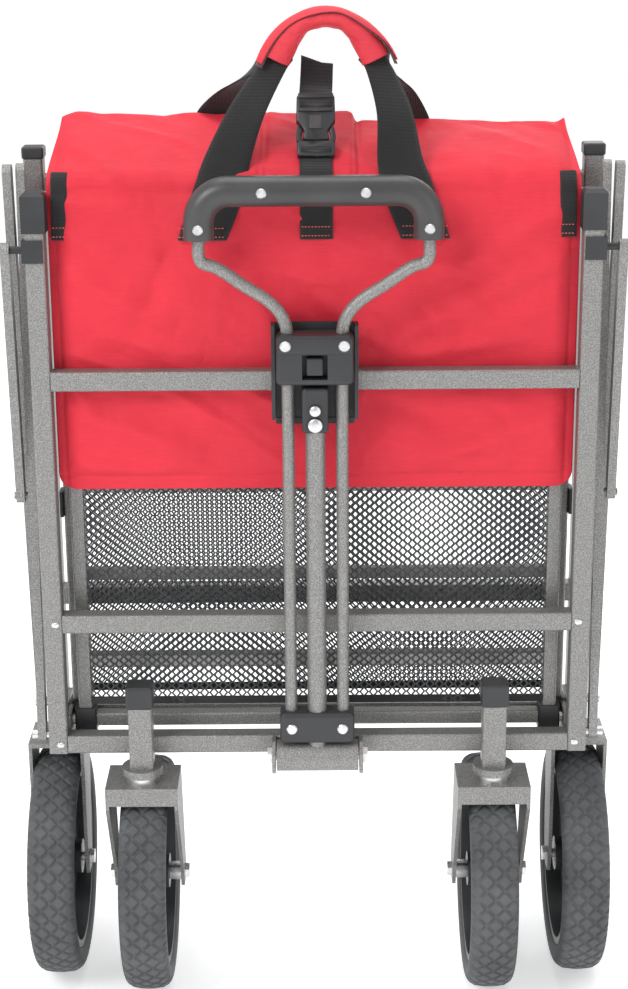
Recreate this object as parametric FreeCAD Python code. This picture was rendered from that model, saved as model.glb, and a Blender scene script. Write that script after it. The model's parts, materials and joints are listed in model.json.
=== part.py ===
import FreeCAD, Part
import math
import os

V = FreeCAD.Vector
AXIS_X = V(1, 0, 0)

# the origin sits on the ground under the middle of the bounding box
ORIGIN_Y = 36.0

# frame tubes, mm
TUBE = 16.0
TUBE_WALL = 1.3
CORNER = 2.0
POST_X = 219.5
POST_BOTTOM = 228.0
POST_TOP = 673.0
CAP_SIDE = 19.0
CAP_TOP = 705.0
UPPER_BAR_Z = 553.0
LOWER_BAR_Z = 345.0
BOTTOM_BAR_Z = 236.0
TOP_BAR_Z = 692.0
TOP_BAR_Y = 27.0
PIN_FIT = 0.05
HEAD_FLAT = 12.0
HEAD_H = 4.0
POST_RIVET_R = 2.2
POST_RIVET_H = 0.8
HINGE_LUG_X = (210.5, 214.0)
HINGE_LUG_Z = (236.0, 256.0)
HINGE_PIN_X = 190.0

# rear frame
REAR_Y = 70.0
REAR_POST_X = 227.0
REAR_POST_TOP = 721.0
REAR_CAP_TOP = 731.0
REAR_BAR_ZS = (236.0, 345.0, 700.0)
REAR_CAP_HALF = 9.0
REAR_LUG_X = 215.5
REAR_SLEEVE_X = (200.0, 214.0)

# wheels
WHEEL_R = 101.5
TYRE_W = 40.0
RIM_R = 80.0
RIM_W = 34.0
HUB_R = 15.0
AXLE_R = 4.0
BORE_GAP = 0.4
SPOKE_HOLES = 6
SPOKE_HOLE_R = 17.0
SPOKE_RING_R = 46.0
CASTER_X = 148.0
STEM_Y = -18.0
CASTER_Y = 22.0
STEM_SIDE = 20.0
STEM_WALL = 2.0
STEM_Z = (222.0, 277.0)
STEM_CAP_HALF = 11.5
STEM_CAP_TOP = 297.0
CUP_R = 17.0
CUP_BOTTOM = 215.4
BEARING_R = 14.5
BEARING_TOP = 215.0
KINGPIN_TOP = 246.0
SPACER_R = 8.0
FORK_TOP = 209.0
PLATE = 3.0
FORK_HALF = 30.5
CROWN_T = 4.0
CROWN_Y = (STEM_Y - 20, STEM_Y + 28)
FORK_LIP = 16.0
REAR_WHEEL_X = 228.0
REAR_WHEEL_Y = 50.0
BRACKET_TOP = 218.0
BRACKET_HALF = 24.0
BRACKET_Y = (REAR_WHEEL_Y - 16, REAR_WHEEL_Y + 32)
TYRE_CROWN = 5.0
TYRE_SHOULDER = 7.0
RIM_WALL = 6.0
WEB_HALF = 4.0

# folding floor panels
PANEL_TUBE = 12.0
REAR_PANEL_TUBE = 10.0
FRONT_RAIL_X = 198.5
REAR_RAIL_X = 207.0
FRONT_PANEL_Y = 26.0
REAR_PANEL_Y = 44.0
PANEL_PIVOT_Z = 246.0
MID_HINGE_Y = 35.0
MID_HINGE_Z = 624.0
RAIL_BOTTOM = 258.0
RAIL_TOP = 612.0
FRONT_PANEL_BARS = (247.0, 301.0, 457.0, 603.0)
REAR_PANEL_BARS = (247.0, 372.0, 603.0)
SLEEVE_H = 22.0
SLEEVE_HALF = 8.0
FRONT_SLEEVE_X = (189.5, 208.0)
LEAF_DROP = 44.0
FRONT_LEAF_T = 5.0
REAR_LEAF_T = 4.0
KNUCKLE_R = 6.0
KNUCKLE_PIN_X = 203.0
COLLAR_Z = 436.0
COLLAR_H = 22.0
COLLAR_T = 3.0
MESH_T = 1.0

# side links
LINK_PIVOT_Z = 243.0
LINK_LENGTH = 440.0
LINK_CROSS = 208.5
LINK_TIP = 34.0
LINK_WIDTH = 12.0
LINK_TILT = math.degrees(math.asin(REAR_Y / 2 / LINK_LENGTH))
INNER_LAYER = (230.0, 237.0)
OUTER_LAYER = (240.0, 247.0)
STRIP_LAYER = (237.6, 239.4)
PIN_R = 3.0
PIN_OUT = 249.0
SLIDER_GAP = 0.3
SLIDER_WALL = 1.7
SLIDER_HALF = 9.0

# pull handle
MAST_Y = -26.0
MAST_R = 8.0
BARREL_R = 13.0
BARREL_Z = 234.0
BARREL_HALF = 34.0
MAST_TOP = 517.0
MAST_WALL = 1.5
MAST_CAP_TOP = 554.0
MAST_CAP_HALF = 10.5
MAST_RIVETS = ((536.0, 4.6), (524.0, 5.6))
LUG_X = (35.0, 38.0)
HOLDER_HALF = 31.5
HOLDER_Z = (519.0, 602.0)
HOLDER_Y = (-12.0, -8.0)
CHEEK_T = 3.0
CHEEK_Z = 525.0
CHEEK_Y = -24.0
LEDGE_T = 5.0
LOOP_X = 21.5
LOOP_R = 5.0
LOOP_BENDS = ((25, 609), (36, 622), (56, 635), (80, 650))
CLAMP_Z = (249.0, 276.0)
CLAMP_HALF = 31.0
CLAMP_DEPTH = 11.0
BLOCK_Z = (557.0, 597.0)
BLOCK_HALF = 30.5
BLOCK_FRONT = 15.0
BLOCK_BACK = 12.0
WINDOW_HALF = 10.0
BUTTON_HALF = 6.5
BUTTON_Z = 572.0
GRIP_Z = 708.0
GRIP_X = 89.0
GRIP_END_Z = 671.0
GRIP_R = 12.0
GRIP_BEND = 24.0
GRIP_RIVET_R = 4.0
RIVET_R = 4.5
RIVET_H = 1.6

# floor mat wrapped over the folded frame
MAT_HALF = 211.0
MAT_T = 6.5
MAT_FRONT_Y = 11.5
MAT_BOTTOM = 457.0
MAT_FOLD_Z = 714.0
MAT_BACK_Y = 88.0
MAT_BACK_Z = 757.0
WEB_FOOT_Z = 665.0
LOOP_WEB_X = (195.0, 208.0)
LEG_X = 88.0
LEG_TOP_X = 70.0
LEG_SLOPE = 0.35
WEB_T = 1.8
WEB_W = 38.0
WEB_GAP = 0.3
STRAP_W = 26.0
SLEEVE_X = 8.0
SLEEVE_Y = 40.0
SLEEVE_APEX = 833.0
SLEEVE_END_Z = 803.0
SLEEVE_SPAN = 54.0
SLEEVE_R = 7.5
BUCKLE_TILT = 27.0
BUCKLE_FOOT = V(2, 24, 727)
BUCKLE_HALF = 15.0
PLUG_H = 12.0
SOCKET_TOP = 50.0
PRONG_XS = (-8.5, 0, 8.5)
PRONG_HALF = 1.6
PRONG_TOP = 26.0
POCKET_HALF = 11.5
TAIL_Z = (34.0, 76.0)


def box(x0, x1, y0, y1, z0, z1):
    return Part.makeBox(x1 - x0, y1 - y0, z1 - z0, V(x0, y0, z0))


def edges_along(shape, axis):
    found = []
    for edge in shape.Edges:
        if len(edge.Vertexes) == 2:
            run = edge.Vertexes[1].Point.sub(edge.Vertexes[0].Point)
            if run.Length > 0 and abs(run.dot(axis)) > 0.999 * run.Length:
                found.append(edge)
    return found


def rounded_box(x0, x1, y0, y1, z0, z1, radius, axis):
    block = box(x0, x1, y0, y1, z0, z1)
    return block.makeFillet(radius, edges_along(block, axis))


def soft_box(x0, x1, y0, y1, z0, z1, radius):
    block = box(x0, x1, y0, y1, z0, z1)
    return block.makeFillet(radius, block.Edges)


def square_tube(start, end, side, wall=TUBE_WALL):
    run = end.sub(start)
    axis = V(run.x, run.y, run.z).normalize()
    half = side / 2
    low = [min(a, b) - half * (1 - abs(c)) for a, b, c in zip(start, end, axis)]
    high = [max(a, b) + half * (1 - abs(c)) for a, b, c in zip(start, end, axis)]
    outer = rounded_box(low[0], high[0], low[1], high[1], low[2], high[2], CORNER, axis)
    inset = [wall * (1 - abs(c)) for c in axis]
    low = [a + i for a, i in zip(low, inset)]
    high = [a - i for a, i in zip(high, inset)]
    return outer.cut(box(low[0], high[0], low[1], high[1], low[2], high[2]))


def x_bar(half, y, z, side=TUBE):
    return square_tube(V(-half, y, z), V(half, y, z), side)


def rod_x(x0, x1, y, z, radius):
    return Part.makeCylinder(radius, abs(x1 - x0), V(min(x0, x1), y, z), AXIS_X)


def rod_z(x, y, z0, z1, radius):
    return Part.makeCylinder(radius, z1 - z0, V(x, y, z0))


def hex_x(x0, x1, y, z, flat):
    radius = flat / math.sqrt(3)
    ring = []
    for i in range(7):
        angle = math.radians(60 * i + 30)
        ring.append(V(min(x0, x1), y + radius * math.cos(angle), z + radius * math.sin(angle)))
    return Part.Face(Part.makePolygon(ring)).extrude(V(abs(x1 - x0), 0, 0))


def bolt_x(x0, x1, y, z, radius):
    sign = 1 if x1 > x0 else -1
    shank = rod_x(x0, x1, y, z, radius)
    head = hex_x(x0 - sign * HEAD_H, x0, y, z, HEAD_FLAT)
    nut = hex_x(x1, x1 + sign * HEAD_H, y, z, HEAD_FLAT)
    return shank.fuse([head, nut]).removeSplitter()


def plate_yz(points, x0, x1):
    ring = [V(min(x0, x1), y, z) for y, z in points]
    return Part.Face(Part.makePolygon(ring + ring[:1])).extrude(V(abs(x1 - x0), 0, 0))


def plate_xz(points, y0, y1):
    ring = [V(x, y0, z) for x, z in points]
    return Part.Face(Part.makePolygon(ring + ring[:1])).extrude(V(0, y1 - y0, 0))


def rivet_y(x, y, z, radius, height):
    head = Part.makeCylinder(radius, height, V(x, y, z), V(0, -1, 0))
    rim_edges = [e for e in head.Edges if abs(e.CenterOfMass.y - (y - height)) < 0.01]
    return head.makeChamfer(height / 2, rim_edges)


def mirrored(shape):
    return shape.mirror(V(0, 0, 0), AXIS_X)


def pair(shape):
    return Part.makeCompound([shape, mirrored(shape)])


def group(shapes):
    solids = []
    for shape in shapes:
        solids.extend(shape.Solids)
    return Part.makeCompound(solids)


def front_frame():
    half = TUBE / 2
    inner = POST_X - half
    post = square_tube(V(-POST_X, 0, POST_BOTTOM), V(-POST_X, 0, POST_TOP), TUBE)
    cap_half = CAP_SIDE / 2
    cap = box(-POST_X - cap_half, -POST_X + cap_half, -cap_half, cap_half, POST_TOP, CAP_TOP)
    cap = cap.makeChamfer(3.0, [e for e in cap.Edges if e.CenterOfMass.z > CAP_TOP - 1])
    stem_cap = soft_box(-CASTER_X - STEM_CAP_HALF, -CASTER_X + STEM_CAP_HALF,
                        STEM_Y - STEM_CAP_HALF, -half - 0.1, STEM_Z[1], STEM_CAP_TOP, 2.5)
    return {
        "front_post_left": post,
        "front_post_right": mirrored(post),
        "front_caps": group([pair(cap), pair(stem_cap)]),
        "top_crossbar": x_bar(inner, TOP_BAR_Y, TOP_BAR_Z),
        "upper_crossbar": x_bar(inner, 0, UPPER_BAR_Z),
        "lower_crossbar": x_bar(inner, 0, LOWER_BAR_Z),
        "bottom_crossbar": x_bar(inner, 0, BOTTOM_BAR_Z),
        "caster_stems": group([pair(stem()), pair(cup())]),
        "frame_lugs": group([pair(top_arm()), pair(pivot_lug()), pair(hinge_lug())]),
        "handle_holder": handle_holder(),
        "front_bolts": front_bolts(),
    }


def stem():
    low, high = STEM_Z
    return square_tube(V(-CASTER_X, STEM_Y, low), V(-CASTER_X, STEM_Y, high), STEM_SIDE, STEM_WALL)


def cup():
    ring = rod_z(-CASTER_X, STEM_Y, CUP_BOTTOM, STEM_Z[0], CUP_R)
    return ring.cut(rod_z(-CASTER_X, STEM_Y, CUP_BOTTOM, STEM_Z[0], AXLE_R + BORE_GAP))


def top_arm():
    end = TOP_BAR_Y + TUBE / 2
    return square_tube(V(-POST_X, CAP_SIDE / 2, TOP_BAR_Z), V(-POST_X, end, TOP_BAR_Z), TUBE)


def pivot_lug():
    face = -TUBE / 2
    lug = plate_yz([(face, 228), (face, 244), (MAST_Y - 4, 248), (MAST_Y - 14, 240),
                    (MAST_Y - 14, 226), (MAST_Y - 4, 219), (MAST_Y + 8, 219)],
                   -LUG_X[1], -LUG_X[0])
    return lug.cut(rod_x(-LUG_X[1], 0, MAST_Y, BARREL_Z, AXLE_R + PIN_FIT))


def hinge_lug():
    near, far = HINGE_LUG_X
    lug = box(-far, -near, TUBE / 2, FRONT_PANEL_Y + SLEEVE_HALF, *HINGE_LUG_Z)
    return lug.cut(rod_x(-far, -near, FRONT_PANEL_Y, PANEL_PIVOT_Z, AXLE_R + PIN_FIT))


def handle_holder():
    half = HOLDER_HALF
    front, rear = HOLDER_Y
    low, high = HOLDER_Z
    back = rounded_box(-half, half, front, rear, low, high, CORNER, V(0, 1, 0))
    cheek = rounded_box(-half - CHEEK_T, -half, CHEEK_Y, rear, CHEEK_Z, high, 1.4, AXIS_X)
    ledge = box(-half, half, front - 1, rear, low, low + LEDGE_T)
    return back.fuse([cheek, mirrored(cheek), ledge]).removeSplitter()


def front_bolts():
    pivot = bolt_x(-LUG_X[1], LUG_X[1], MAST_Y, BARREL_Z, AXLE_R)
    hinge = rod_x(-HINGE_LUG_X[1], -HINGE_PIN_X, FRONT_PANEL_Y, PANEL_PIVOT_Z, AXLE_R)
    link = rod_x(-POST_X - TUBE / 2, -PIN_OUT + 7, 0, LINK_PIVOT_Z, AXLE_R)
    rivets = [rivet_y(1 - POST_X, -TUBE / 2, z, POST_RIVET_R, POST_RIVET_H)
              for z in (BOTTOM_BAR_Z, LOWER_BAR_Z)]
    return group([pivot, pair(hinge), pair(link)] + [pair(r) for r in rivets])


def mast():
    barrel = rod_x(-BARREL_HALF, BARREL_HALF, MAST_Y, BARREL_Z, BARREL_R)
    tube = rod_z(0, MAST_Y, BARREL_Z, MAST_TOP, MAST_R)
    tube = tube.cut(rod_z(0, MAST_Y, BARREL_Z, MAST_TOP, MAST_R - MAST_WALL)).cut(barrel)
    barrel = barrel.cut(rod_x(-BARREL_HALF, BARREL_HALF, MAST_Y, BARREL_Z, AXLE_R + BORE_GAP))
    half = MAST_CAP_HALF
    cap = soft_box(-half, half, MAST_Y - half, MAST_Y + half, MAST_TOP, MAST_CAP_TOP, 3.0)
    rivets = [rivet_y(0, MAST_Y - half, z, r, RIVET_H) for z, r in MAST_RIVETS]
    return {
        "mast": barrel.fuse(tube).removeSplitter(),
        "mast_cap": cap.fuse(rivets),
    }


def loop_path():
    foot = V(-LOOP_X, MAST_Y, CLAMP_Z[0])
    knee = V(-LOOP_X, MAST_Y, BLOCK_Z[1] - 6)
    curve = Part.BSplineCurve()
    points = [knee] + [V(-x, MAST_Y, z) for x, z in LOOP_BENDS] + [V(-GRIP_X, MAST_Y, GRIP_END_Z)]
    curve.interpolate(Points=points, InitialTangent=V(0, 0, 1), FinalTangent=V(0.15, 0, 1))
    return Part.Wire([Part.makeLine(foot, knee), curve.toShape()])


def loop_tube():
    ring = Part.Wire([Part.makeCircle(LOOP_R, V(-LOOP_X, MAST_Y, CLAMP_Z[0]))])
    return loop_path().makePipeShell([ring], True, False)


def flip(point):
    return V(-point.x, point.y, point.z)


def grip_body():
    inset = GRIP_BEND * (1 - math.sqrt(0.5))
    corner = V(-GRIP_X + inset, MAST_Y, GRIP_Z - inset)
    left = V(-GRIP_X, MAST_Y, GRIP_Z - GRIP_BEND)
    top_left = V(-GRIP_X + GRIP_BEND, MAST_Y, GRIP_Z)
    path = Part.Wire([
        Part.makeLine(V(-GRIP_X, MAST_Y, GRIP_END_Z), left),
        Part.Arc(left, corner, top_left).toShape(),
        Part.makeLine(top_left, flip(top_left)),
        Part.Arc(flip(top_left), flip(corner), flip(left)).toShape(),
        Part.makeLine(flip(left), V(GRIP_X, MAST_Y, GRIP_END_Z)),
    ])
    ring = Part.Wire([Part.makeCircle(GRIP_R, V(-GRIP_X, MAST_Y, GRIP_END_Z))])
    return path.makePipeShell([ring], True, False)


def clamp_block(z0, z1, y0, y1, half):
    block = soft_box(-half, half, y0, y1, z0, z1, 4.0)
    for x in (-LOOP_X, LOOP_X):
        block = block.cut(rod_z(x, MAST_Y, z0 - 1, z1 + 1, LOOP_R + PIN_FIT))
    return block


def handle_rivets():
    places = [
        (GRIP_X * 0.45, GRIP_Z, MAST_Y - GRIP_R - 0.1, GRIP_RIVET_R),
        (GRIP_X, GRIP_END_Z + 9, MAST_Y - GRIP_R - 0.1, GRIP_RIVET_R),
        (LOOP_X + 1.5, BLOCK_Z[1] - 8, MAST_Y - BLOCK_FRONT, RIVET_R),
        (LOOP_X - 0.5, sum(CLAMP_Z) / 2, MAST_Y - CLAMP_DEPTH, RIVET_R),
    ]
    return group([pair(rivet_y(x, y, z, radius, RIVET_H)) for x, z, y, radius in places])


def lower_clamp():
    low, high = CLAMP_Z
    clamp = clamp_block(low, high, MAST_Y - CLAMP_DEPTH, MAST_Y + CLAMP_DEPTH, CLAMP_HALF)
    return clamp.cut(rod_z(0, MAST_Y, low, high, MAST_R + BORE_GAP))


def middle_block():
    half = WINDOW_HALF
    block = clamp_block(*BLOCK_Z, MAST_Y - BLOCK_FRONT, MAST_Y + BLOCK_BACK, BLOCK_HALF)
    return block.cut(box(-half, half, MAST_Y - 20, MAST_Y - 2, BUTTON_Z - half, BUTTON_Z + half))


def latch_button():
    half = BUTTON_HALF
    return soft_box(-half, half, MAST_Y - 14.5, MAST_Y - 6.0, BUTTON_Z - 7, BUTTON_Z + 7, 1.5)


def pull_loop():
    grip = grip_body()
    front_half = box(-2 * GRIP_X, 2 * GRIP_X, MAST_Y - 50, MAST_Y, GRIP_END_Z - 50, GRIP_Z + 50)
    return {
        "loop_tubes": pair(loop_tube()),
        "grip_shell_front": grip.common(front_half),
        "grip_shell_rear": grip.cut(front_half),
        "middle_block": middle_block(),
        "lower_clamp": lower_clamp(),
        "handle_rivets": handle_rivets(),
        "latch_button": latch_button(),
    }


def tyre(x, y):
    half = TYRE_W / 2
    side = [(half - 3, RIM_R), (half, RIM_R + 6), (half, WHEEL_R - 9),
            (half - TYRE_SHOULDER, WHEEL_R - 1.2), (TYRE_CROWN, WHEEL_R)]
    profile = [(-across, radius) for across, radius in side] + side[::-1]
    ring = [V(x + across, y, WHEEL_R + radius) for across, radius in profile]
    face = Part.Face(Part.makePolygon(ring + ring[:1]))
    return face.revolve(V(x, y, WHEEL_R), AXIS_X, 360)


def rim(x, y):
    half = RIM_W / 2
    seat = rod_x(x - half, x + half, y, WHEEL_R, RIM_R - PIN_FIT)
    seat = seat.cut(rod_x(x - half, x + half, y, WHEEL_R, RIM_R - RIM_WALL))
    web = rod_x(x - WEB_HALF, x + WEB_HALF, y, WHEEL_R, RIM_R - RIM_WALL + 1)
    for i in range(SPOKE_HOLES):
        angle = 2 * math.pi * i / SPOKE_HOLES
        cy = y + SPOKE_RING_R * math.sin(angle)
        cz = WHEEL_R + SPOKE_RING_R * math.cos(angle)
        web = web.cut(rod_x(x - WEB_HALF, x + WEB_HALF, cy, cz, SPOKE_HOLE_R))
    hub = rod_x(x - half, x + half, y, WHEEL_R, HUB_R)
    wheel = seat.fuse([web, hub]).removeSplitter()
    return wheel.cut(rod_x(x - half, x + half, y, WHEEL_R, AXLE_R + BORE_GAP))


def cheeks(side, x, half):
    outer = plate_yz(side, x - half, x - half + PLATE)
    inner = plate_yz(side, x + half - PLATE, x + half)
    return [outer, inner]


def caster_fork():
    x = -CASTER_X
    top = FORK_TOP
    front, rear = CROWN_Y
    side = [(front, top), (rear, top), (CASTER_Y + 13, WHEEL_R + 4),
            (CASTER_Y + 9, WHEEL_R - 10), (CASTER_Y - 9, WHEEL_R - 10),
            (CASTER_Y - 15, WHEEL_R + 10), (front, top - 20)]
    crown = box(x - FORK_HALF, x + FORK_HALF, front, rear, top - CROWN_T, top)
    lip = box(x - FORK_HALF, x + FORK_HALF, front, front + PLATE, top - FORK_LIP, top)
    fork = crown.fuse(cheeks(side, x, FORK_HALF) + [lip]).removeSplitter()
    return fork.cut(rod_x(x - FORK_HALF, x + FORK_HALF, CASTER_Y, WHEEL_R, AXLE_R + PIN_FIT))


def spacer(x, sign):
    near = x + sign * (RIM_W / 2 + BORE_GAP)
    far = x + sign * (FORK_HALF - PLATE)
    tube = rod_x(near, far, CASTER_Y, WHEEL_R, SPACER_R)
    return tube.cut(rod_x(near, far, CASTER_Y, WHEEL_R, AXLE_R + PIN_FIT))


def caster_hardware():
    x = -CASTER_X
    bearing = rod_z(x, STEM_Y, FORK_TOP, BEARING_TOP, BEARING_R)
    kingpin = rod_z(x, STEM_Y, BEARING_TOP, KINGPIN_TOP, AXLE_R)
    axle = bolt_x(x - FORK_HALF, x + FORK_HALF, CASTER_Y, WHEEL_R, AXLE_R)
    return group([bearing.fuse(kingpin), axle, spacer(x, -1), spacer(x, 1)])


def wheels():
    parts = {}
    for name, x, y in (("caster", -CASTER_X, CASTER_Y), ("rear", -REAR_WHEEL_X, REAR_WHEEL_Y)):
        parts[name + "_tyre_left"] = tyre(x, y)
        parts[name + "_rim_left"] = rim(x, y)
    parts["caster_fork_left"] = caster_fork()
    parts["caster_hardware_left"] = caster_hardware()
    for name in list(parts):
        parts[name.replace("_left", "_right")] = mirrored(parts[name])
    return parts


def rear_bracket():
    x = -REAR_WHEEL_X
    y = REAR_WHEEL_Y
    half = BRACKET_HALF
    front, rear = BRACKET_Y
    side = [(front, BRACKET_TOP), (rear, BRACKET_TOP), (y + 14, WHEEL_R + 6),
            (y + 8, WHEEL_R - 13), (y - 8, WHEEL_R - 13), (y - 14, WHEEL_R + 6)]
    top = box(x - half, x + half, front, rear, BRACKET_TOP - CROWN_T, BRACKET_TOP)
    bracket = top.fuse(cheeks(side, x, half)).removeSplitter()
    return bracket.cut(rod_x(x - half, x + half, y, WHEEL_R, AXLE_R + PIN_FIT))


def rear_lug():
    outer = REAR_POST_X - TUBE / 2
    lug = box(-outer, -REAR_LUG_X, REAR_PANEL_Y - SLEEVE_HALF, REAR_Y, *HINGE_LUG_Z)
    return lug.cut(rod_x(-outer, -REAR_LUG_X, REAR_PANEL_Y, PANEL_PIVOT_Z, AXLE_R + PIN_FIT))


def rear_frame():
    post = square_tube(V(-REAR_POST_X, REAR_Y, BRACKET_TOP), V(-REAR_POST_X, REAR_Y, REAR_POST_TOP),
                       TUBE)
    half = REAR_CAP_HALF
    cap = soft_box(-REAR_POST_X - half, -REAR_POST_X + half, REAR_Y - half, REAR_Y + half,
                   REAR_POST_TOP, REAR_CAP_TOP, CORNER)
    bars = [x_bar(REAR_POST_X - TUBE / 2, REAR_Y, z) for z in REAR_BAR_ZS]
    x = -REAR_WHEEL_X
    axle = bolt_x(x - BRACKET_HALF, x + BRACKET_HALF, REAR_WHEEL_Y, WHEEL_R, AXLE_R)
    hinge = rod_x(-REAR_POST_X + TUBE / 2, -REAR_SLEEVE_X[0] - PIN_FIT, REAR_PANEL_Y,
                  PANEL_PIVOT_Z, AXLE_R)
    link = rod_x(-REAR_POST_X - TUBE / 2, -PIN_OUT, REAR_Y, LINK_PIVOT_Z, AXLE_R)
    return {
        "rear_post_left": post,
        "rear_post_right": mirrored(post),
        "rear_caps": pair(cap),
        "rear_crossbars": group(bars + [pair(rear_lug())]),
        "rear_brackets": pair(rear_bracket()),
        "rear_bolts": group([pair(axle), pair(hinge), pair(link)]),
    }


def sleeve(x0, x1, y):
    block = rounded_box(x0, x1, y - SLEEVE_HALF, y + SLEEVE_HALF, RAIL_BOTTOM - SLEEVE_H,
                        RAIL_BOTTOM, CORNER, V(0, 0, 1))
    return block.cut(rod_x(x0, x1, y, PANEL_PIVOT_Z, AXLE_R + BORE_GAP))


def leaf(x0, x1, rail_y, rail_side, radius):
    low = MID_HINGE_Z - LEAF_DROP
    half = rail_side / 2
    tail = box(x0, x1, rail_y - half, rail_y + half, low, RAIL_TOP)
    knuckle = rod_x(x0, x1, MID_HINGE_Y, MID_HINGE_Z, radius)
    toward = 1 if rail_y > MID_HINGE_Y else -1
    outer = rail_y + toward * half
    near = MID_HINGE_Y - toward * (radius - 1)
    web = plate_yz([(outer, low), (outer, RAIL_TOP), (MID_HINGE_Y, MID_HINGE_Z + radius),
                    (near, MID_HINGE_Z), (rail_y - toward * half, RAIL_TOP - 6),
                    (rail_y - toward * half, low)], x0, x1)
    return tail.fuse([knuckle, web]).removeSplitter()


def front_panel():
    half = PANEL_TUBE / 2
    rail = square_tube(V(-FRONT_RAIL_X, FRONT_PANEL_Y, RAIL_BOTTOM),
                       V(-FRONT_RAIL_X, FRONT_PANEL_Y, RAIL_TOP), PANEL_TUBE)
    inner = FRONT_RAIL_X - half
    bars = [x_bar(inner, FRONT_PANEL_Y, z, PANEL_TUBE) for z in FRONT_PANEL_BARS[1:]]
    near, far = FRONT_SLEEVE_X
    bars.append(x_bar(near, FRONT_PANEL_Y, FRONT_PANEL_BARS[0], PANEL_TUBE))
    hinge = sleeve(-far, -near, FRONT_PANEL_Y)
    plate = leaf(-inner, -inner + FRONT_LEAF_T, FRONT_PANEL_Y, PANEL_TUBE, KNUCKLE_R)
    plate = plate.cut(bars[2]).Solids[0]
    pin = rod_x(-inner, -KNUCKLE_PIN_X, MID_HINGE_Y, MID_HINGE_Z, PIN_R)
    mesh = box(-inner, inner, FRONT_PANEL_Y - half - MESH_T - 0.1, FRONT_PANEL_Y - half - 0.1,
               RAIL_BOTTOM + 4, RAIL_TOP - 4)
    return {
        "front_panel_rails": pair(rail),
        "front_panel_crossbars": group(bars),
        "front_panel_hinges": group([pair(hinge), pair(plate.fuse(pin))]),
        "front_mesh": mesh,
    }


def rear_panel():
    half = REAR_PANEL_TUBE / 2
    rail = square_tube(V(-REAR_RAIL_X, REAR_PANEL_Y, RAIL_BOTTOM),
                       V(-REAR_RAIL_X, REAR_PANEL_Y, RAIL_TOP), REAR_PANEL_TUBE)
    inner = REAR_RAIL_X - half
    bars = [x_bar(inner, REAR_PANEL_Y, z, REAR_PANEL_TUBE) for z in REAR_PANEL_BARS[1:]]
    near, far = REAR_SLEEVE_X
    bars.append(x_bar(near, REAR_PANEL_Y, REAR_PANEL_BARS[0], REAR_PANEL_TUBE))
    hinge = sleeve(-far, -near, REAR_PANEL_Y)
    plate = leaf(-inner, -inner + REAR_LEAF_T, REAR_PANEL_Y, REAR_PANEL_TUBE, KNUCKLE_R)
    plate = plate.cut(rod_x(-inner, -inner + REAR_LEAF_T, MID_HINGE_Y, MID_HINGE_Z,
                            PIN_R + BORE_GAP))
    plate = plate.cut(bars[1]).Solids[0]
    outer = -REAR_RAIL_X - half
    collar = rounded_box(outer - COLLAR_T, outer, REAR_PANEL_Y - SLEEVE_HALF,
                         REAR_PANEL_Y + SLEEVE_HALF, COLLAR_Z - COLLAR_H / 2,
                         COLLAR_Z + COLLAR_H / 2, 1.2, V(0, 0, 1))
    mesh = box(-inner, inner, REAR_PANEL_Y + half + 0.1, REAR_PANEL_Y + half + MESH_T + 0.1,
               RAIL_BOTTOM + 4, RAIL_TOP - 4)
    return {
        "rear_panel_rails": pair(rail),
        "rear_panel_crossbars": group(bars),
        "rear_panel_hinges": group([pair(hinge), pair(plate), pair(collar)]),
        "rear_mesh": mesh,
    }


def link(layer, foot, length, extra, holes, tilt):
    x0, x1 = -layer[1], -layer[0]
    half = LINK_WIDTH / 2
    y, z = foot
    tip = z + length + extra
    bar = box(x0, x1, y - half, y + half, z, tip)
    bar = bar.fuse([rod_x(x0, x1, y, z, half), rod_x(x0, x1, y, tip, half)]).removeSplitter()
    for height, radius in holes:
        bar = bar.cut(rod_x(x0 - 1, x1 + 1, y, z + height, radius))
    return bar.rotate(V(0, y, z), AXIS_X, tilt)


def cross_point(side_y, direction):
    angle = math.radians(LINK_TILT)
    return (side_y + direction * LINK_CROSS * math.sin(angle),
            LINK_PIVOT_Z + LINK_CROSS * math.cos(angle))


def slider(post_x, y, pin_end):
    top = LINK_PIVOT_Z + 2 * LINK_CROSS * math.cos(math.radians(LINK_TILT))
    bore = TUBE / 2 + SLIDER_GAP
    shell = bore + SLIDER_WALL
    low, high = top - SLIDER_HALF, top + SLIDER_HALF
    inner = post_x - TUBE / 2 + 1
    body = box(-post_x - shell, -inner, y - shell, y + shell, low, high)
    body = body.cut(box(-post_x - bore, 0, y - bore, y + bore, low, high))
    return body.fuse(rod_x(-post_x - shell, -pin_end, y, top, PIN_R)).removeSplitter()


def side_links():
    big = AXLE_R + BORE_GAP
    small = PIN_R + BORE_GAP
    front_long = link(INNER_LAYER, (0, LINK_PIVOT_Z), LINK_LENGTH, LINK_TIP, [(0, big)], -LINK_TILT)
    rear_long = link(OUTER_LAYER, (REAR_Y, LINK_PIVOT_Z), LINK_LENGTH, LINK_TIP, [(0, big)],
                     LINK_TILT)
    front_cross = cross_point(0, 1)
    rear_cross = cross_point(REAR_Y, -1)
    holes = [(0, small), (LINK_CROSS, small)]
    front_short = link(OUTER_LAYER, front_cross, LINK_CROSS, 0, holes, LINK_TILT)
    rear_short = link(STRIP_LAYER, rear_cross, LINK_CROSS, 0, holes, -LINK_TILT)
    front_pin = rod_x(-INNER_LAYER[1], -PIN_OUT, front_cross[0], front_cross[1], PIN_R)
    rear_pin = rod_x(-OUTER_LAYER[0], -INNER_LAYER[1] - SLIDER_GAP, rear_cross[0], rear_cross[1], PIN_R)
    return {
        "front_long_links": pair(front_long.fuse(front_pin)),
        "front_short_links": pair(front_short),
        "front_sliders": pair(slider(POST_X, 0, PIN_OUT)),
        "rear_long_links": pair(rear_long.fuse(rear_pin)),
        "rear_short_links": pair(rear_short),
        "rear_sliders": pair(slider(REAR_POST_X, REAR_Y, STRIP_LAYER[1])),
    }


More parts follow.
